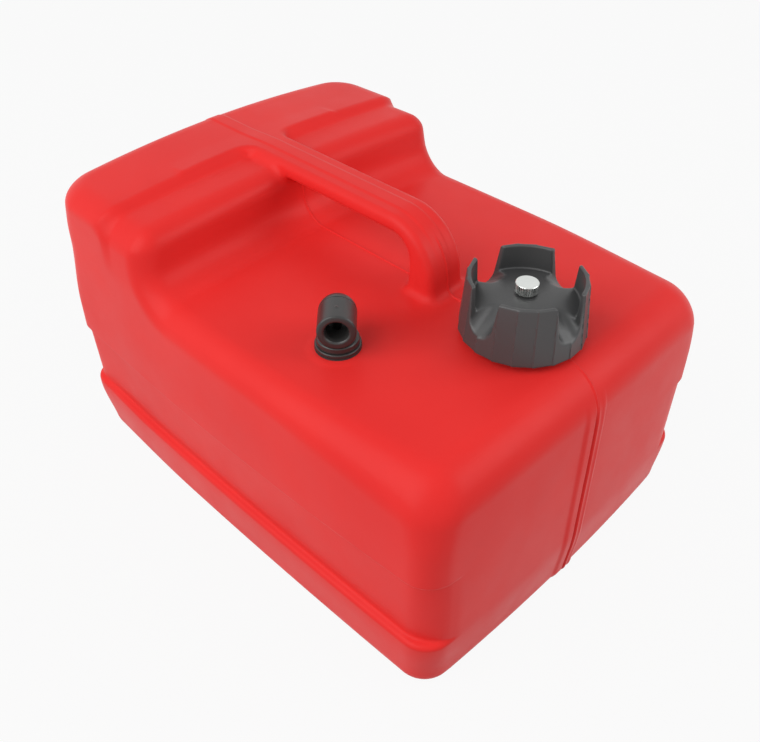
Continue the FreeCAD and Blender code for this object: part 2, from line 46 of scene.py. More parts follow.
# Camera
PHOTO_WIDTH, PHOTO_HEIGHT = 760, 742
CAMERA = dict(turn=45.274, lift=38.785, roll=-0.327, distance=626.8, target=(0, 0, 89.47),
              focal=888.54, centre=(373.94, 351.38), sensor=36, near=0.01)

# The tank's moulded form, in millimetres
TANK = dict(
    # Ends, sides, corners and the rounded rim
    half_length=176.5, half_width=133.4, end_bulge=5, side_bow=3,
    corner_low=17, corner_top=27, corner_from=118, draft=1, draft_from=95,
    tail_start=60, tail_draft=4.4, tail_from=175, tail_sharp=4,
    foot_radius=8, base_inset=3.2, tail_inset=2,
    edge_radius=16.5, edge_front=26, edge_from=40,
    # Lower sides: the lip, the recess above it and the crease
    lip=43.3, lip_back=6, lip_back_from=90, lip_round=3.5, lip_hollow=2, recess=4.7,
    crease=91, crease_rise=6, crease_step=2.4, crease_under=0.8, crease_over=0.4,
    wrap_end=104, wrap_full=129, wrap_tail=8, wrap_tail_from=110, wrap_tail_full=165,
    # Top: the deck, the ledge and the raised block
    deck=170.5, crown=6, ledge=210, ledge_crown=5.4, hump=215.2, hump_crown=7,
    step_x=-105, step_fade=5, step_round=4.5, step_fillet=6,
    wall_x=-69, wall_lean=4, wall_fade=30, cove=18, brow=12.5,
    ledge_inset=3, ledge_fade=45, block_half=70,
    # Handle
    grip_half=15, grip_under=205, grip_over=216.7, grip_round=5, grip_join=10,
    grip_foot=8, grip_behind=25, grip_full=12,
    leg_back=43, leg_spread=4, leg_reach=1.2, leg_join=6, join_from=2, join_full=14,
    bend_x=26, bend_in=14, bend_out=34,
    # The raised band, the parting line and the rib on the filler end
    band_half=5, band_rise=0.7, band_ease=0.7,
    seam_half=0.8, seam_core=0.4, seam_rise=0.75, seam_fade=12, seam_end=8,
    filler_from=24, filler_full=14,
    rib_low=-11, rib_low_ease=4.5, rib_high=9.4, rib_high_ease=1.4, rib_rise=1.2,
    rib_top=156, rib_fade=22, rib_over=4,
    # Outlet pad
    pad_x=52, pad_y=-80, pad_radius=15, pad_top=168.361, pad_apron=1.5, pad_proud=0.05,
    pad_edge=0.6, pad_depth=6, pad_foot=0.5, pad_reach=8, pad_fillet=1.2,
    # Wall, neck and the holes in the skin
    wall=3, cap_x=120, neck_radius=26, neck_bore=23, neck_top=182.9,
    skin_hole=24.5, port_hole=12, holes_above=150)

# Lines along the rib on the filler end: place, width and rise
RIB_LINES = ((6.2, 0.9, 0.4), (1.5, 0.9, 0.5), (-0.3, 0.8, -1.3))

# The least radius of a blend, where there is none to see
LEAST_BLEND = 0.01

# Grid steps of the tank's outer and inner skin
OUTER_STEP, INNER_STEP = 2.6, 5.5


# Distance fields: negative inside a form, in millimetres
def within(a, b, radius):
    """Inside both, with the shared edge rounded."""
    edge = np.hypot(np.maximum(a + radius, 0), np.maximum(b + radius, 0))
    return np.minimum(-radius, np.maximum(a, b)) + edge


def either(a, b, radius):
    """Inside either, with a hollow fillet between them."""
    edge = np.hypot(np.maximum(radius - a, 0), np.maximum(radius - b, 0))
    return np.maximum(radius, np.minimum(a, b)) - edge


def ramp(value, low, high):
    """A smooth rise from 0 at low to 1 at high."""
    share = np.clip((value - low) / (high - low), 0, 1)
    return share * share * (3 - 2 * share)


def plan_field(x, y, z, t, extra):
    """The upright sides: bowed, with rounded corners and a base that is drawn in."""
    low = 1 - ramp(z, 0, t["lip"])
    tail = ramp(-x, t["tail_start"], t["half_length"])
    high = ramp(z, t["draft_from"], t["hump"])
    fit = t["draft"] * high + (t["base_inset"] + t["tail_inset"] * tail) * low + extra
    corner = ramp(z, t["corner_from"], t["deck"])
    top = ramp(z, t["tail_from"], t["hump"])
    radius = t["corner_low"] + (t["corner_top"] - t["corner_low"]) * corner
    radius = radius - t["tail_sharp"] * tail * (1 - top)
    bulge = t["end_bulge"] * (y / t["half_width"]) ** 2 + t["tail_draft"] * tail * top
    end = np.abs(x) - (t["half_length"] - fit - bulge)
    side = np.abs(y) - (t["half_width"] - fit - t["side_bow"] * (x / t["half_length"]) ** 2)
    return within(end, side, radius)


def handle_field(x, z, t, top, width):
    """The grip and its leg, seen from the side, with a given field across."""
    slope = np.clip((t["grip_over"] - z) / (t["grip_over"] - t["deck"]), 0, t["leg_reach"])
    front = t["bend_x"] + t["bend_out"] + t["leg_spread"] * slope
    outer = within(top, x - front, t["bend_out"])
    inner = within(z - t["grip_under"], x - t["leg_back"], t["bend_in"])
    return within(np.maximum(outer, -inner), width, t["grip_round"])


def rib_shape(y, t):
    """Height of the broad rib on the filler end, with the mould's parting line in it."""
    start = ramp(y, t["rib_low"], t["rib_low"] + t["rib_low_ease"])
    end = ramp(y, t["rib_high"] - t["rib_high_ease"], t["rib_high"])
    height = t["rib_rise"] * (start * (1 - end))
    for place, width, rise in RIB_LINES:
        height = height + rise * np.exp(-((y - place) / width) ** 2)
    return height


def tank_field(x, y, z, t=TANK):
    """The tank's outer skin, with its handle, pad, band and parting line."""
    off = (y / t["half_width"]) ** 2
    deck = z - (t["deck"] - t["crown"] * off)
    ledge = z - (t["ledge"] - t["ledge_crown"] * off)
    lean = t["wall_lean"] * (t["ledge"] - z) / (t["ledge"] - t["deck"])
    wall = x - (t["wall_x"] + lean)
    ease = t["band_ease"]
    band = t["band_rise"] * (1 - ramp(np.abs(y), t["band_half"] - ease, t["band_half"] + ease))
    hump = z - (t["hump"] - t["hump_crown"] * off) - band
    step = x - t["step_x"]
    top = either(deck, within(ledge, wall, t["brow"]), t["cove"])
    top = either(top, within(hump, step, t["step_round"]), t["step_fillet"])

    front = 1 - ramp(x, t["wall_x"], t["wall_x"] + t["wall_fade"])
    behind = ramp(x, t["step_x"] - t["step_fade"], t["step_x"] + t["step_fade"])
    inset = t["ledge_inset"] * ramp(z, t["ledge"] - t["ledge_fade"], t["ledge"]) * front * behind
    lip = t["lip"] + t["lip_back"] * ramp(-x, t["lip_back_from"], t["half_length"])
    crease = t["crease"] + t["crease_rise"] * (x / t["half_length"]) ** 2
    reach = np.abs(y) - t["wrap_tail"] * ramp(-x, t["wrap_tail_from"], t["wrap_tail_full"])
    wrap = ramp(reach, t["wrap_end"], t["wrap_full"])
    into = np.clip((crease - z) / (crease - lip), 0, 1)
    below = 1 - ramp(z, crease - t["crease_under"], crease + t["crease_over"])
    depth = t["crease_step"] * below + (t["recess"] - t["crease_step"]) * into
    forward = ramp(x, t["edge_from"], t["half_length"])
    edge = t["edge_radius"] + (t["edge_front"] - t["edge_radius"]) * forward
    body = within(top, plan_field(x, y, z, t, inset + depth * wrap), edge)
    skirt = within(plan_field(x, y, z, t, 0), z - lip, t["lip_round"])
    body = either(body, skirt, t["lip_hollow"] * wrap + LEAST_BLEND)

    start = t["step_x"] - t["grip_behind"]
    rise = (t["grip_over"] - t["hump"]) * ramp(x, start, t["step_x"] + t["grip_full"])
    across = either(step, np.abs(y) - t["grip_half"], t["grip_join"])
    across = np.maximum(across, np.abs(y) - t["block_half"])
    grip = handle_field(x, z, t, hump - rise, across)
    grip = np.maximum(grip, np.maximum(t["deck"] - t["grip_foot"] - z, start - x))
    joined = ramp(x, t["step_x"] - t["join_from"], t["step_x"] + t["join_full"])
    form = either(body, grip, t["leg_join"] * joined + LEAST_BLEND)

    pad = np.hypot(x - t["pad_x"], y - t["pad_y"]) - t["pad_radius"] - t["pad_apron"]
    pad = within(pad, z - t["pad_top"] - t["pad_proud"], t["pad_edge"])
    pad = within(pad, t["pad_top"] - t["pad_depth"] - z, t["pad_foot"])
    form = np.where(pad < t["pad_reach"], either(form, pad, t["pad_fillet"]), form)
    form = within(form, -z, t["foot_radius"])

    core = t["seam_half"] * t["seam_core"]
    ridge = t["seam_rise"] * (1 - ramp(np.abs(y), core, t["seam_half"]))
    ridge = ridge * (1 - ramp(z, t["hump"] - t["seam_fade"], t["hump"] - t["seam_end"]))
    filler_end = ramp(x, t["half_length"] - t["filler_from"], t["half_length"] - t["filler_full"])
    under_top = 1 - ramp(z, t["rib_top"] - t["rib_fade"], t["rib_top"] + t["rib_over"])
    rib = rib_shape(y, t) * filler_end * under_top
    return form - ridge * (1 - filler_end * under_top) - rib


# Meshes of fields
def stations(low, high, step, near):
    """Grid places from low to high, closer together near the given places.

    Each entry of near is a place, the reach about it and the step there.
    """
    places = [low]
    while places[-1] < high:
        gap = step
        for centre, reach, fine in near:
            if abs(places[-1] + fine - centre) <= reach:
                gap = min(gap, fine)
        places.append(places[-1] + gap)
    return np.array(places)


def surface_net(field, axes):
    """A quad mesh of the field's zero surface on a grid of places."""
    count = [len(places) for places in axes]
    grid = np.meshgrid(*axes, indexing="ij")
    value = field(*grid)
    inside = value < 0
    total = np.zeros([n - 1 for n in count] + [3])
    hits = np.zeros([n - 1 for n in count])

    # One point in each crossed cell: the mean of the crossings on its edges
    for axis in range(3):
        first = [slice(None)] * 3
        second = [slice(None)] * 3
        first[axis] = slice(0, -1)
        second[axis] = slice(1, None)
        first, second = tuple(first), tuple(second)
        cross = inside[first] != inside[second]
        gap = value[first] - value[second]
        share = np.where(cross, value[first] / np.where(gap == 0, 1, gap), 0)
        point = [coordinate[first].copy() for coordinate in grid]
        point[axis] += share * (grid[axis][second] - grid[axis][first])
        others = [k for k in range(3) if k != axis]
        for i in (0, 1):
            for j in (0, 1):
                part = [slice(None)] * 3
                part[others[0]] = slice(i, count[others[0]] - 1 + i)
                part[others[1]] = slice(j, count[others[1]] - 1 + j)
                part = tuple(part)
                hit = cross[part]
                hits += hit
                for k in range(3):
                    total[..., k] += np.where(hit, point[k][part], 0)
    used = hits > 0
    index = -np.ones(hits.shape, int)
    index[used] = np.arange(used.sum())
    points = total[used] / hits[used][:, None]

    # One quad round each crossed edge of the grid
    quads = []
    for axis in range(3):
        others = [(axis + 1) % 3, (axis + 2) % 3]
        first = [slice(1, -1)] * 3
        second = [slice(1, -1)] * 3
        first[axis] = slice(0, -1)
        second[axis] = slice(1, None)
        one, two = inside[tuple(first)], inside[tuple(second)]
        cross = one != two
        where = np.array(np.nonzero(cross)).T
        where[:, others] += 1
        ring = []
        for i, j in ((0, 0), (1, 0), (1, 1), (0, 1)):
            cell = where.copy()
            cell[:, others[0]] -= 1 - i
            cell[:, others[1]] -= 1 - j
            ring.append(index[cell[:, 0], cell[:, 1], cell[:, 2]])
        ring = np.stack(ring, 1)
        flip = ~one[cross]
        ring[flip] = ring[flip][:, ::-1]
        quads.append(ring)
    return points, np.concatenate(quads)


def settle(field, points, most=1.5, rounds=3, reach=0.05, flattest=0.2):
    """Move points onto the field's zero surface."""
    for _ in range(rounds):
        x, y, z = points.T
        value = field(x, y, z)
        slope = np.stack([
            field(x + reach, y, z) - field(x - reach, y, z),
            field(x, y + reach, z) - field(x, y - reach, z),
            field(x, y, z + reach) - field(x, y, z - reach)], 1) / (2 * reach)
        size = np.maximum((slope ** 2).sum(1), flattest)
        points = points - np.clip(value / size, -most, most)[:, None] * slope
    return points


# Pieces
def add_piece(name, points, faces, material, body, replaced, sharp=None):
    """A smooth mesh piece from points in millimetres, which rides on a body."""
    places = (np.asarray(points) * MM).tolist()
    mesh = bpy.data.meshes.new(name)
    mesh.from_pydata(places, [], [list(map(int, face)) for face in faces])
    mesh.validate()
    mesh.update()
    mesh.materials.append(material)
    mesh.shade_smooth()
    if sharp is not None:
        mesh.set_sharp_from_angle(angle=math.radians(sharp))
    piece = bpy.data.objects.new(name, mesh)
    bpy.context.scene.collection.objects.link(piece)
    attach(piece, body)
    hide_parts(*replaced)


def keep_faces(points, faces, keep):
    """Drop the faces that are not kept, and the points that no face uses then."""
    faces = faces[keep]
    used = np.unique(faces)
    index = -np.ones(len(points), int)
    index[used] = np.arange(len(used))
    return points[used], index[faces]


def open_hole(points, faces, centre, radius, low, reach=4):
    """Cut a round hole in a skin above a height, with its rim drawn to the circle."""
    middle = points[faces].mean(1)
    away = np.hypot(middle[:, 0] - centre[0], middle[:, 1] - centre[1])
    keep = (away > radius) | (middle[:, 2] < low)
    points, faces = keep_faces(points, faces, keep)
    sides = np.concatenate([faces[:, [i, (i + 1) % 4]] for i in range(4)])
    sides = np.sort(sides, 1)
    pairs, times = np.unique(sides, axis=0, return_counts=True)
    rim = np.unique(pairs[times == 1])
    offset = points[rim, :2] - centre
    away = np.hypot(offset[:, 0], offset[:, 1])
    near = away < radius + reach
    rim, offset, away = rim[near], offset[near], away[near]
    points[rim, :2] = np.array(centre) + offset * (radius / away)[:, None]
    return points, faces


def at_turn(centre, radius, turn, height):
    """The point at a radius and a turn about an upright axis."""
    return centre[0] + radius * math.cos(turn), centre[1] + radius * math.sin(turn), height


def lathe(profile, count, centre):
    """A closed ring: profile is a loop of (radius, height) turned about an upright axis."""
    turns = np.linspace(0, 2 * np.pi, count, endpoint=False)
    rows = len(profile)
    points = [at_turn(centre, radius, turn, height) for turn in turns for radius, height in profile]
    faces = []
    for i in range(count):
        for j in range(rows):
            a = i * rows + j
            b = i * rows + (j + 1) % rows
            c = ((i + 1) % count) * rows + (j + 1) % rows
            d = ((i + 1) % count) * rows + j
            faces.append((a, d, c, b))
    return np.array(points), faces


def rounded_loop(corners, radius, parts=4, most=0.45):
    """A loop of corners with each corner rounded, by at most a share of its sides."""
    loop = []
    count = len(corners)
    for i in range(count):
        here = np.array(corners[i], float)
        last = np.array(corners[i - 1], float) - here
        after = np.array(corners[(i + 1) % count], float) - here
        reach = min(radius, np.hypot(*last) * most, np.hypot(*after) * most)
        start = here + last / np.hypot(*last) * reach
        end = here + after / np.hypot(*after) * reach
        for k in range(parts + 1):
            s = k / parts
            loop.append(tuple((1 - s) ** 2 * start + 2 * s * (1 - s) * here + s * s * end))
    return loop


# Materials
# The grain's strength, and how much finer the smudges are than the patches of colour
GRAIN_STRENGTH, SMUDGE_RATIO = 0.35, 2.3


def new_material(name):
    """A new material, with its node tree and its shader."""
    material = bpy.data.materials.new(name)
    material.use_nodes = True
    tree = material.node_tree
    return material, tree, tree.nodes["Principled BSDF"]


def noise(tree, scale, detail, roughness=0.5):
    """A noise value that is fixed to the piece."""
    place = tree.nodes.new("ShaderNodeTexCoord")
    node = tree.nodes.new("ShaderNodeTexNoise")
    node.inputs["Scale"].default_value = scale
    node.inputs["Detail"].default_value = detail
    node.inputs["Roughness"].default_value = roughness
    tree.links.new(place.outputs["Object"], node.inputs["Vector"])
    return node.outputs["Fac"]


def spread(tree, source, low, high, start=0.3, end=0.7):
    """Map a texture's value onto a range."""
    node = tree.nodes.new("ShaderNodeMapRange")
    node.inputs["From Min"].default_value = start
    node.inputs["From Max"].default_value = end
    node.inputs["To Min"].default_value = low
    node.inputs["To Max"].default_value = high
    tree.links.new(source, node.inputs["Value"])
    return node.outputs["Result"]


def two_tone(tree, factor, first, second):
    """A colour between two colours."""
    node = tree.nodes.new("ShaderNodeMix")
    node.data_type = "RGBA"
    node.inputs["A"].default_value = (*first, 1)
    node.inputs["B"].default_value = (*second, 1)
    tree.links.new(factor, node.inputs["Factor"])
    return node.outputs["Result"]


def bump(tree, shader, source, strength, distance):
    """Fine relief in the shader's surface."""
    node = tree.nodes.new("ShaderNodeBump")
    node.inputs["Strength"].default_value = strength
    node.inputs["Distance"].default_value = distance
    tree.links.new(source, node.inputs["Height"])
    tree.links.new(node.outputs["Normal"], shader.inputs["Normal"])


def make_finish(name, first, second, rough, grain_scale, grain_depth, patch_scale=14, metallic=0):
    """A finish with slow colour variation, uneven gloss and fine grain."""
    material, tree, shader = new_material(name)
    patches = spread(tree, noise(tree, patch_scale, detail=3), 0, 1)
    tree.links.new(two_tone(tree, patches, first, second), shader.inputs["Base Color"])
    smudges = noise(tree, patch_scale * SMUDGE_RATIO, detail=4, roughness=0.6)
    tree.links.new(spread(tree, smudges, *rough), shader.inputs["Roughness"])
    grain = noise(tree, grain_scale, detail=2, roughness=0.6)
    bump(tree, shader, grain, strength=GRAIN_STRENGTH, distance=grain_depth)
    shader.inputs["Metallic"].default_value = metallic
    return material, shader


RED, red_shader = make_finish("red_polyethylene", (0.79, 0.031, 0.028), (0.75, 0.027, 0.025),
                              (0.34, 0.42), 900, 0.00015)
red_shader.inputs["Subsurface Weight"].default_value = 0.06
red_shader.inputs["Subsurface Radius"].default_value = (0.004, 0.0008, 0.0006)
red_shader.inputs["Specular IOR Level"].default_value = 0.11
BLACK, _ = make_finish("black_polypropylene", (0.056, 0.055, 0.055), (0.047, 0.048, 0.049),
                       (0.34, 0.46), 1400, 0.00015)
ELBOW, _ = make_finish("black_nylon", (0.022, 0.021, 0.021), (0.030, 0.028, 0.027),
                       (0.26, 0.36), 1600, 0.0001)
RUBBER, _ = make_finish("nitrile_rubber", (0.018, 0.018, 0.018), (0.028, 0.028, 0.027),
                        (0.6, 0.75), 2200, 0.0002)
NICKEL, _ = make_finish("bright_nickel", (0.70, 0.72, 0.70), (0.64, 0.66, 0.64),
                        (0.16, 0.28), 2600, 0.00005, patch_scale=60, metallic=1)
BRASS, _ = make_finish("turned_brass", (0.78, 0.56, 0.24), (0.70, 0.49, 0.20),
                       (0.2, 0.32), 3000, 0.00005, patch_scale=40, metallic=1)
STEEL, _ = make_finish("spring_steel", (0.56, 0.56, 0.58), (0.48, 0.48, 0.50),
                       (0.25, 0.38), 3000, 0.00005, patch_scale=40, metallic=1)
PALE, _ = make_finish("pale_acetal", (0.80, 0.80, 0.73), (0.74, 0.74, 0.67),
                      (0.38, 0.5), 1500, 0.0001)


# Tank skin
def make_tank():
    """The outer and inner skin in one piece, open at the neck and at the outlet."""
    t = TANK
    near_x = [(t["step_x"], 7, 1.3), (t["half_length"], 4, 1.0)]
    near_y = [(0, 3, 0.4), (0, 11, 0.8), (0, 16, 1.5)]
    near_z = [(t["lip"] + 1, 6, 1), (t["crease"] + 2.5, 5, 0.5), (t["hump"], 5, 1.3)]
    fine = [stations(-179, 180, OUTER_STEP, near_x),
            stations(-135.2, 135.5, OUTER_STEP, near_y),
            stations(-1.3, 220.5, OUTER_STEP, near_z)]
    outer, outer_faces = surface_net(tank_field, fine)
    outer = settle(tank_field, outer)
    outer[:, 2] = np.maximum(outer[:, 2], 0)

    def hollow(x, y, z):
        return tank_field(x, y, z) + t["wall"]

    spans = ((-180, 184), (-138, 142), (-2.7, 222))
    coarse = [np.arange(low, high, INNER_STEP) for low, high in spans]
    inner, inner_faces = surface_net(hollow, coarse)
    inner = settle(hollow, inner)
    holes = (((t["cap_x"], 0), t["skin_hole"]), ((t["pad_x"], t["pad_y"]), t["port_hole"]))
    for centre, radius in holes:
        outer, outer_faces = open_hole(outer, outer_faces, centre, radius, t["holes_above"])
        inner, inner_faces = open_hole(inner, inner_faces, centre, radius, t["holes_above"])
    points = np.concatenate([outer, inner])
    faces = np.concatenate([outer_faces, inner_faces[:, ::-1] + len(outer)])
    add_piece("tank_skin", points, faces, RED, "tank", ["tank_shell"])


# Filler neck and outlet boss
THREAD = dict(sink=0.4, height=2, root=2.4, tip=1.2, pitch=4, turns=1.1, start=177,
              sides=72, taper=8, least=0.3)
NECK = dict(sink=0.4, flare=1.2, flare_top=1.5, edge=0.6, sides=120)
BOSS = dict(bore=9, depth=9, shoulder=2, dish=0.05, edge=0.4, sides=64)


def thread_ridge(radius, centre, t=THREAD):
    """A tapered thread ridge swept up a helix."""
    points, faces = [], []
    steps = int(t["sides"] * t["turns"])
    for i in range(steps + 1):
        turn = 2 * math.pi * i / t["sides"]
        level = t["start"] + t["pitch"] * i / t["sides"]
        fade = min(1, t["taper"] * i / steps, t["taper"] * (steps - i) / steps)
        base = radius - t["sink"]
        crest = radius + t["height"] * fade
        tip = t["tip"] / 2 * max(fade, t["least"])
        section = [(base, -t["root"] / 2), (crest, -tip), (crest, tip), (base, t["root"] / 2)]
        points += [at_turn(centre, r, turn, level + h) for r, h in section]
    for i in range(steps):
        for j in range(4):
            a, b = i * 4 + j, i * 4 + (j + 1) % 4
            faces.append((a, a + 4, b + 4, b))
    last = steps * 4
    faces += [(0, 1, 2, 3), (last + 3, last + 2, last + 1, last)]
    return np.array(points), faces


def make_neck():
    """The threaded neck under the cap, and the boss that carries the outlet."""
    t = TANK
    centre = (t["cap_x"], 0)
    low = t["deck"] - t["wall"] - NECK["sink"]
    loop = rounded_loop([
        (t["neck_bore"], low), (t["neck_radius"] + NECK["flare"], low),
        (t["neck_radius"], t["deck"] + NECK["flare_top"]),
        (t["neck_radius"], t["neck_top"]), (t["neck_bore"], t["neck_top"])], NECK["edge"])
    points, faces = lathe(loop, NECK["sides"], centre)
    ridge, ridge_faces = thread_ridge(t["neck_radius"], centre)
    faces += [tuple(i + len(points) for i in face) for face in ridge_faces]
    points = np.concatenate([points, ridge])
    add_piece("filler_neck", points, faces, RED, "tank", ["tank_shell"], sharp=50)
    foot = t["pad_top"] - BOSS["depth"]
    loop = rounded_loop([
        (BOSS["bore"], foot), (t["pad_radius"], foot),
        (t["pad_radius"], t["pad_top"] - BOSS["shoulder"]),
        (BOSS["bore"], t["pad_top"] - BOSS["dish"])], BOSS["edge"])
    points, faces = lathe(loop, BOSS["sides"], (t["pad_x"], t["pad_y"]))
    add_piece("outlet_boss", points, faces, RED, "tank", ["tank_shell"], sharp=50)


# Filler cap
CAP = dict(
    x=120, foot=174.7, top=210.4, foot_radius=36.9, tip_radius=33.9, foot_edge=0.5, edge=0.9,
    panels=20, panel_share=0.98, step=0.6, turn=-52.5,
    inner=30.9, dome=199.35, dome_radius=100.5, well_round=1.4, disc=6.6, disc_in=1,
    boss=8, boss_under=191.5, hole=4.55, bore=30.7, plate_top=187.9,
    notch_half=7.6, notch_flare=0.11, notch_from=188, notch_floor=184.4, notch_slope=0.76,
    notch_start=16, notch_round=3, scoop=5.5,
    grid=0.62, quick_grid=1.2, grid_below=0.9, grid_margin=1)


def cap_field(x, y, z, c=CAP):
    """The cap about its own axis: a faceted skirt, a sunk dome and four notches."""
    away = np.hypot(x, y)
    turn = np.degrees(np.arctan2(y, x)) - c["turn"]
    share = (z - c["foot"]) / (c["top"] - c["foot"])
    radius = c["foot_radius"] + (c["tip_radius"] - c["foot_radius"]) * share
    panel = 360 / c["panels"]
    local = np.radians(np.mod(turn + panel / 2, panel))
    end = math.radians(panel * c["panel_share"])
    first = np.array([c["foot_radius"], 0.0])
    last = (c["foot_radius"] - c["step"]) * np.array([math.cos(end), math.sin(end)])
    along = last - first
    normal = np.array([along[1], -along[0]]) / np.hypot(*along)
    reach = (normal @ first) * radius / c["foot_radius"]
    wall = away * (np.cos(local) * normal[0] + np.sin(local) * normal[1]) - reach
    body = within(wall, z - c["top"], c["edge"])
    body = within(body, c["foot"] - z, c["foot_edge"])
    dome = z - (c["dome"] - away ** 2 / (2 * c["dome_radius"]))
    well = within(away - c["inner"], -dome, c["well_round"])
    body = within(body, -well, c["edge"])
    quarter = np.radians(np.mod(turn, 90) - 45)
    u, v = away * np.cos(quarter), away * np.sin(quarter)
    floor = c["notch_floor"] + (c["foot_radius"] - u) * c["notch_slope"]
    half = c["notch_half"] + c["notch_flare"] * np.maximum(z - c["notch_from"], 0)
    notch = within(np.abs(v) - half, floor - z, c["scoop"])
    notch = within(notch, c["notch_start"] - u, c["notch_round"])
    body = within(body, -notch, c["edge"])
    hollow = np.maximum(away - c["bore"], z - c["plate_top"])
    under = np.maximum(dome + c["disc"], away - c["inner"] + c["disc_in"])
    hollow = np.minimum(hollow, np.maximum(under, z - c["dome"]))
    body = np.maximum(body, -hollow)
    boss = np.maximum(away - c["boss"], np.maximum(dome, c["boss_under"] - z))
    body = np.minimum(body, boss)
    return np.maximum(body, c["hole"] - away)


def make_cap():
    """The cap's black body."""
    c = CAP
    step = c["grid"]
    reach = c["foot_radius"] + c["grid_margin"]
    flat = np.arange(-reach, reach + step, step)
    tall = np.arange(c["foot"] - c["grid_below"], c["top"] + c["grid_margin"], step)
    points, faces = surface_net(cap_field, (flat, flat, tall))
    points = settle(cap_field, points, most=0.4)
    points[:, 0] += c["x"]
    add_piece("cap_body", points, faces, BLACK, "cap", ["cap_crown"], sharp=38)


# Fuel outlet
ELBOW_FORM = dict(
    x=52, y=-80, turn=-45, seat=171.961, hub=12.4, hub_height=4, hub_edge=0.9, hub_foot=0.4,
    hub_fillet=0.8, post=9, post_edge=1, post_fillet=1.5,
    barrel=11.05, front=14, front_edge=0.9, back=5, axis=188.361,
    nub=0.9, nub_x=5, nub_sink=0.2, nub_fillet=0.4,
    hose=6.2, hose_depth=13, flare=0.35, flare_length=2.6, mouth_edge=0.8, bore=2.6,
    spigot=6.55, spigot_foot=158, spigot_over=1, tail=3.7, tail_foot=149,
    grid=0.5, quick_grid=1.0)
BUSHING = dict(bore=6.62, neck=8.95, flange=13.55, flange_over=1.2, edge=0.7, sides=96)


def elbow_field(x, y, z, e=ELBOW_FORM):
    """The elbow about its upright axis, with its mouth towards +x."""
    away = np.hypot(x, y)
    hub = within(away - e["hub"], z - e["seat"] - e["hub_height"], e["hub_edge"])
    hub = within(hub, e["seat"] - z, e["hub_foot"])
    post = within(away - e["post"], z - e["axis"], e["post_edge"])
    post = np.maximum(post, e["seat"] - z)
    around = np.hypot(y, z - e["axis"])
    barrel = within(around - e["barrel"], x - e["front"], e["front_edge"])
    barrel = np.maximum(barrel, -e["back"] - x)
    back = np.sqrt((x + e["back"]) ** 2 + y * y + (z - e["axis"]) ** 2) - e["barrel"]
    body = np.minimum(barrel, np.maximum(back, x + e["back"]))
    body = either(either(body, post, e["post_fillet"]), hub, e["hub_fillet"])
    above = z - e["axis"] - e["barrel"] + e["nub_sink"]
    nub = np.sqrt((x - e["nub_x"]) ** 2 + y * y + above ** 2) - e["nub"]
    body = either(body, nub, e["nub_fillet"])
    spigot = np.maximum(e["spigot_foot"] - z, z - e["seat"] - e["spigot_over"])
    spigot = np.maximum(away - e["spigot"], spigot)
    tail = np.maximum(away - e["tail"], np.maximum(e["tail_foot"] - z, z - e["seat"]))
    body = np.minimum(body, np.minimum(spigot, tail))
    flare = e["flare"] * np.maximum(x - e["front"] + e["flare_length"], 0)
    mouth = np.maximum(around - e["hose"] - flare, e["front"] - e["hose_depth"] - x)
    body = within(body, -mouth, e["mouth_edge"])
    run = np.maximum(around - e["bore"], -x)
    rise = np.maximum(away - e["bore"], z - e["axis"])
    return np.maximum(body, -np.minimum(run, rise))


def make_elbow():
    """The black outlet elbow, and the ring that it sits in."""
    e, ring = ELBOW_FORM, BUSHING
    step = e["grid"]
    spans = ((-17.5, 15.6), (-14, 14.6), (148, 202))
    points, faces = surface_net(elbow_field, [np.arange(*span, step) for span in spans])
    points = settle(elbow_field, points, most=0.3)
    turn = math.radians(e["turn"])
    x = e["x"] + points[:, 0] * math.cos(turn) - points[:, 1] * math.sin(turn)
    y = e["y"] + points[:, 0] * math.sin(turn) + points[:, 1] * math.cos(turn)
    points = np.stack([x, y, points[:, 2]], 1)
    add_piece("elbow_body", points, faces, ELBOW, "outlet", ["outlet_elbow"],
              sharp=38)
    low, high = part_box("port_bushing")
    top = high.z / MM
    foot = low.z / MM
    seat = TANK["pad_top"] + ring["flange_over"]
    loop = rounded_loop([
        (ring["bore"], foot), (ring["neck"], foot), (ring["neck"], seat),
        (ring["flange"], seat), (ring["flange"], top), (ring["bore"], top)], ring["edge"])
    points, faces = lathe(loop, ring["sides"], (e["x"], e["y"]))
    add_piece("bushing_ring", points, faces, ELBOW, "tank", ["port_bushing"],
              sharp=40)


make_tank()
make_neck()
make_cap()
make_elbow()

# The finish of each solid from the frame
FINISHES = dict(port_gasket=RUBBER, elbow_oring=RUBBER, elbow_clip=STEEL, pickup_tube=PALE,
                pickup_strainer=PALE, pickup_screen=STEEL, cap_insert=PALE, cap_gasket=RUBBER,
                vent_bush=BRASS, vent_seal=RUBBER, vent_screw=NICKEL, vent_clip=STEEL,
                tank_shell=RED, cap_crown=BLACK, outlet_elbow=ELBOW, port_bushing=ELBOW)
for node, finish in FINISHES.items():
    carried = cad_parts[node]
    carried.data.materials.clear()
    carried.data.materials.append(finish)


# Stage
WHITE = (1, 1, 1, 1)
DIRECT_RAYS = ("Is Camera Ray", "Is Glossy Ray", "Is Transmission Ray")
FLOOR = dict(half=4.0, drop=0.0004, tone=0.38, rough=0.9, whiteness=0.93)
WORLD_STRENGTH = 0.46
LAMP_AIM = (0, 0, 0.1)


def seen_directly(tree):
    """1 for the rays that look straight at the stage, and 0 for the ones that light the object."""
    path = tree.nodes.new("ShaderNodeLightPath")
    result = path.outputs[DIRECT_RAYS[0]]
    for kind in DIRECT_RAYS[1:]:
        most = tree.nodes.new("ShaderNodeMath")
        most.operation = "MAXIMUM"
        tree.links.new(result, most.inputs[0])
        tree.links.new(path.outputs[kind], most.inputs[1])
        result = most.outputs[0]
    return result


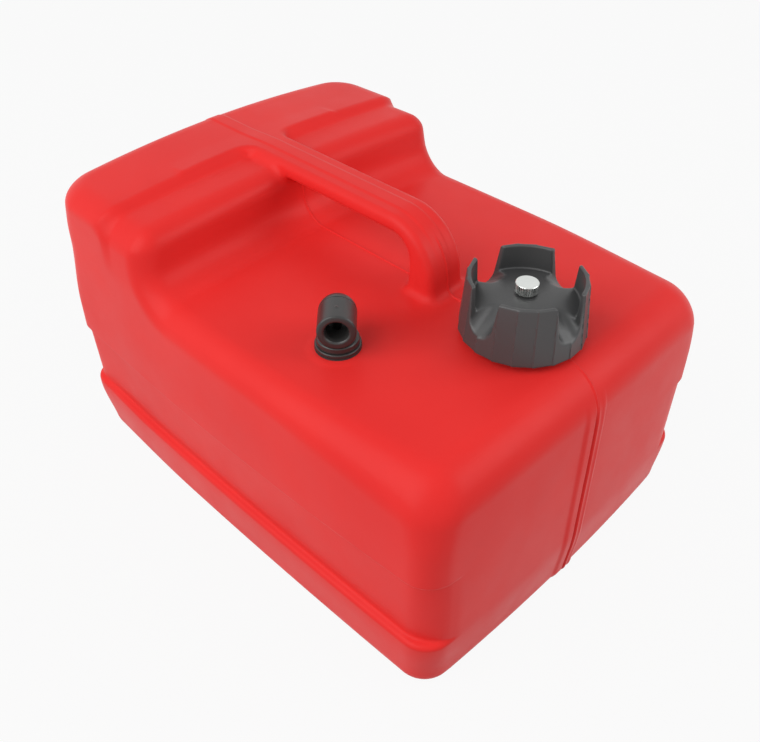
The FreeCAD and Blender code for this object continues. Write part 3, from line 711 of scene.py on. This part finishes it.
def scaled(tree, value, factor):
    """A value times a fixed factor."""
    node = tree.nodes.new("ShaderNodeMath")
    node.operation = "MULTIPLY"
    node.inputs[1].default_value = factor
    tree.links.new(value, node.inputs[0])
    return node.outputs[0]


def mix_with_white(tree, lit, kind, factor, output):
    """Send out a lit shader, mixed by a factor with plain white of strength 1."""
    white = tree.nodes.new(kind)
    white.inputs["Color"].default_value = WHITE
    white.inputs["Strength"].default_value = 1
    mix = tree.nodes.new("ShaderNodeMixShader")
    tree.links.new(factor, mix.inputs["Fac"])
    tree.links.new(lit.outputs[0], mix.inputs[1])
    tree.links.new(white.outputs[0], mix.inputs[2])
    tree.links.new(mix.outputs[0], tree.nodes[output].inputs["Surface"])


def make_floor():
    """A floor that looks white and still takes the object's shadow."""
    material, tree, shader = new_material("pale_floor")
    shader.inputs["Base Color"].default_value = (FLOOR["tone"],) * 3 + (1,)
    shader.inputs["Roughness"].default_value = FLOOR["rough"]
    shader.inputs["Specular IOR Level"].default_value = 0
    factor = scaled(tree, seen_directly(tree), FLOOR["whiteness"])
    mix_with_white(tree, shader, "ShaderNodeEmission", factor, "Material Output")
    mesh = bpy.data.meshes.new("floor")
    half = FLOOR["half"]
    corners = [(-half, -half, 0), (half, -half, 0), (half, half, 0), (-half, half, 0)]
    mesh.from_pydata(corners, [], [(0, 1, 2, 3)])
    mesh.materials.append(material)
    floor = bpy.data.objects.new("floor", mesh)
    floor.location.z = -FLOOR["drop"]
    bpy.context.scene.collection.objects.link(floor)


def make_world():
    """An even light from all round, with a white background."""
    world = bpy.data.worlds.new("studio")
    bpy.context.scene.world = world
    world.use_nodes = True
    tree = world.node_tree
    light = tree.nodes["Background"]
    light.inputs["Color"].default_value = WHITE
    light.inputs["Strength"].default_value = WORLD_STRENGTH
    mix_with_white(tree, light, "ShaderNodeBackground", seen_directly(tree), "World Output")


def add_lamp(name, place, size, power):
    """A square lamp that faces the object."""
    data = bpy.data.lights.new(name, "AREA")
    data.shape = "RECTANGLE"
    data.size = data.size_y = size
    data.energy = power
    lamp = bpy.data.objects.new(name, data)
    lamp.location = place
    towards = Vector(LAMP_AIM) - Vector(place)
    lamp.rotation_euler = towards.to_track_quat("-Z", "Y").to_euler()
    bpy.context.scene.collection.objects.link(lamp)


def make_camera():
    """The camera at the photo's place."""
    c = CAMERA
    turn, lift, roll = (math.radians(c[key]) for key in ("turn", "lift", "roll"))
    level = math.cos(lift)
    back = Vector((math.sin(turn) * level, -math.cos(turn) * level, math.sin(lift)))
    right = Vector((math.cos(turn), math.sin(turn), 0))
    up = back.cross(right)
    across = math.cos(roll) * right + math.sin(roll) * up
    upward = -math.sin(roll) * right + math.cos(roll) * up
    data = bpy.data.cameras.new("camera")
    data.sensor_fit = "HORIZONTAL"
    data.sensor_width = c["sensor"]
    data.lens = c["focal"] / PHOTO_WIDTH * data.sensor_width
    data.shift_x = (PHOTO_WIDTH / 2 - c["centre"][0]) / PHOTO_WIDTH
    data.shift_y = (c["centre"][1] - PHOTO_HEIGHT / 2) / PHOTO_WIDTH
    data.clip_start = c["near"]
    camera = bpy.data.objects.new("camera", data)
    place = (back * c["distance"] + Vector(c["target"])) * MM
    axes = Matrix((across, upward, back)).transposed().to_4x4()
    camera.matrix_world = Matrix.Translation(place) @ axes
    bpy.context.scene.collection.objects.link(camera)
    bpy.context.scene.camera = camera


make_floor()
make_world()
add_lamp("key", (-0.2, -1.45, 1.15), size=1.7, power=25)
add_lamp("fill", (1.15, 0.8, 0.9), size=1.0, power=9)
make_camera()
bpy.context.scene.view_settings.view_transform = "Standard"
